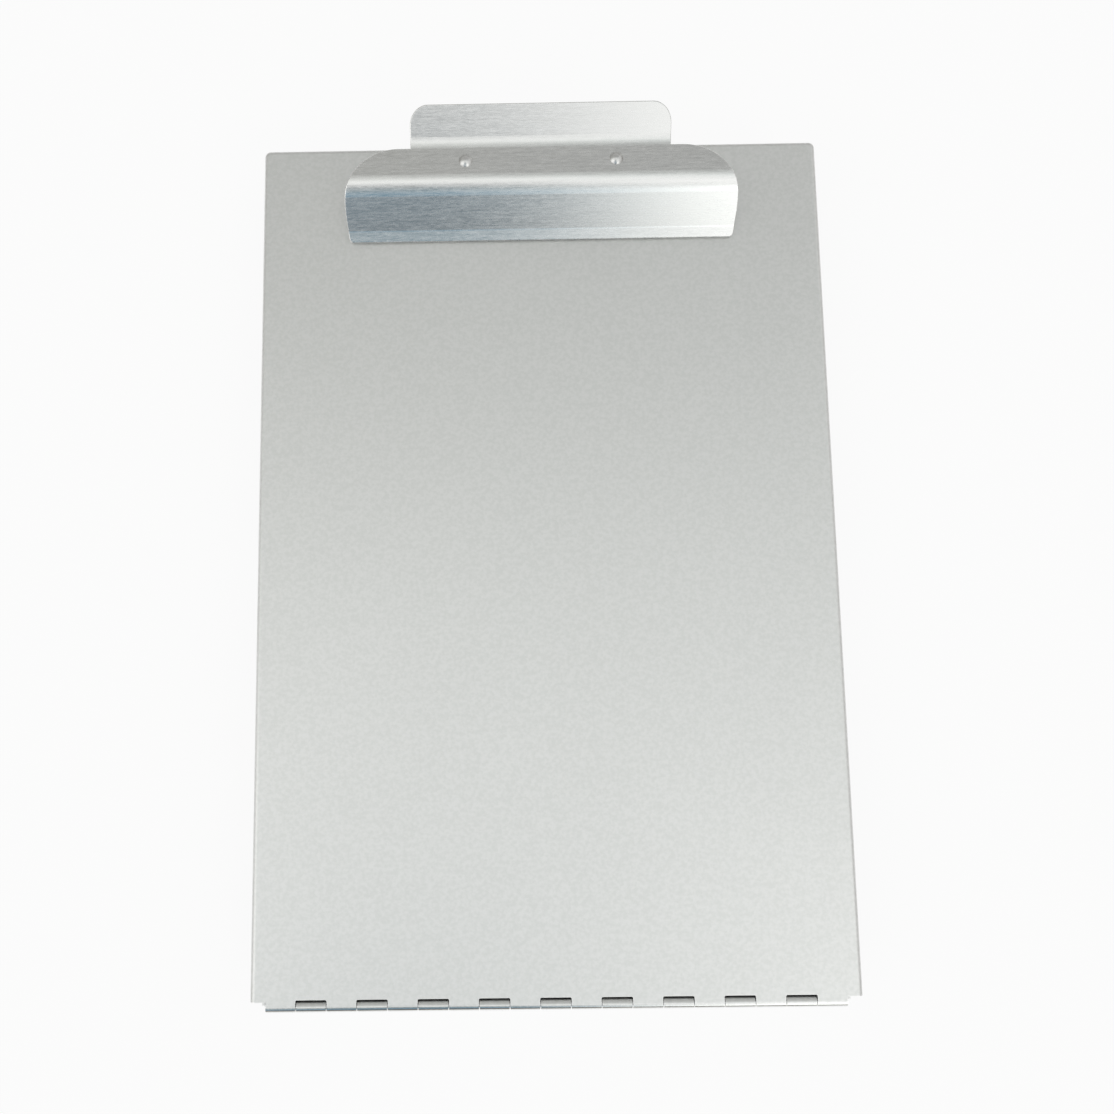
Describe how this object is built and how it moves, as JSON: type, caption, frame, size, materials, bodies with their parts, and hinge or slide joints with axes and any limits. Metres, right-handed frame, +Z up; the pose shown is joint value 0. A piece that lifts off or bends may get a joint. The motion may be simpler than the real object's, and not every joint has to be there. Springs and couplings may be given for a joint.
{
  "type": "storage clipboard box",
  "caption": "Flat aluminium storage box whose hinged writing plate carries a sprung paper clip.",
  "frame": {"origin": "centre of the tray's flat base, half way between the hinge barrel's front and the writing plate's rear edge", "axes": "+X across the plate, +Y from the hinge towards the clip, +Z up"},
  "size_m": [0.229, 0.3489, 0.0485],
  "materials": {
    "tray_sheet": "satin, fine grain",
    "plate_sheet": "satin, fine grain",
    "clip_metal": "brushed across the width",
    "rivet": "bright",
    "bracket": "zinc plated",
    "steel": "drawn",
    "spring_steel": "drawn wire"
  },
  "bodies": {
    "case": {"tray": "tray_sheet", "tray_corner_rivets": "rivet"},
    "lid": {"writing_plate": "plate_sheet", "hinge_pin": "steel", "base_bracket": "bracket", "base_bracket_rivets": "rivet", "clip_pivot_pin": "steel", "pivot_retainers": "spring_steel", "left_spring": "spring_steel", "right_spring": "spring_steel"},
    "clip": {"clip_plate": "clip_metal", "clip_rivets": "rivet", "clip_bracket": "bracket"}
  },
  "joints": [
    {"name": "lid_hinge", "type": "hinge", "parent": "case", "child": "lid", "pos_m": [0, -0.1695, 0.0247], "axis": [1, 0, 0], "range_deg": [0, 180]},
    {"name": "clip_pivot", "type": "hinge", "parent": "lid", "child": "clip", "pos_m": [0, 0.1562, 0.03395], "axis": [-1, 0, 0], "range_deg": [0, 30], "stiffness_Nm_per_rad": 0.6, "springref_deg": -34.38, "deforming": ["left_spring", "right_spring"]}
  ]
}
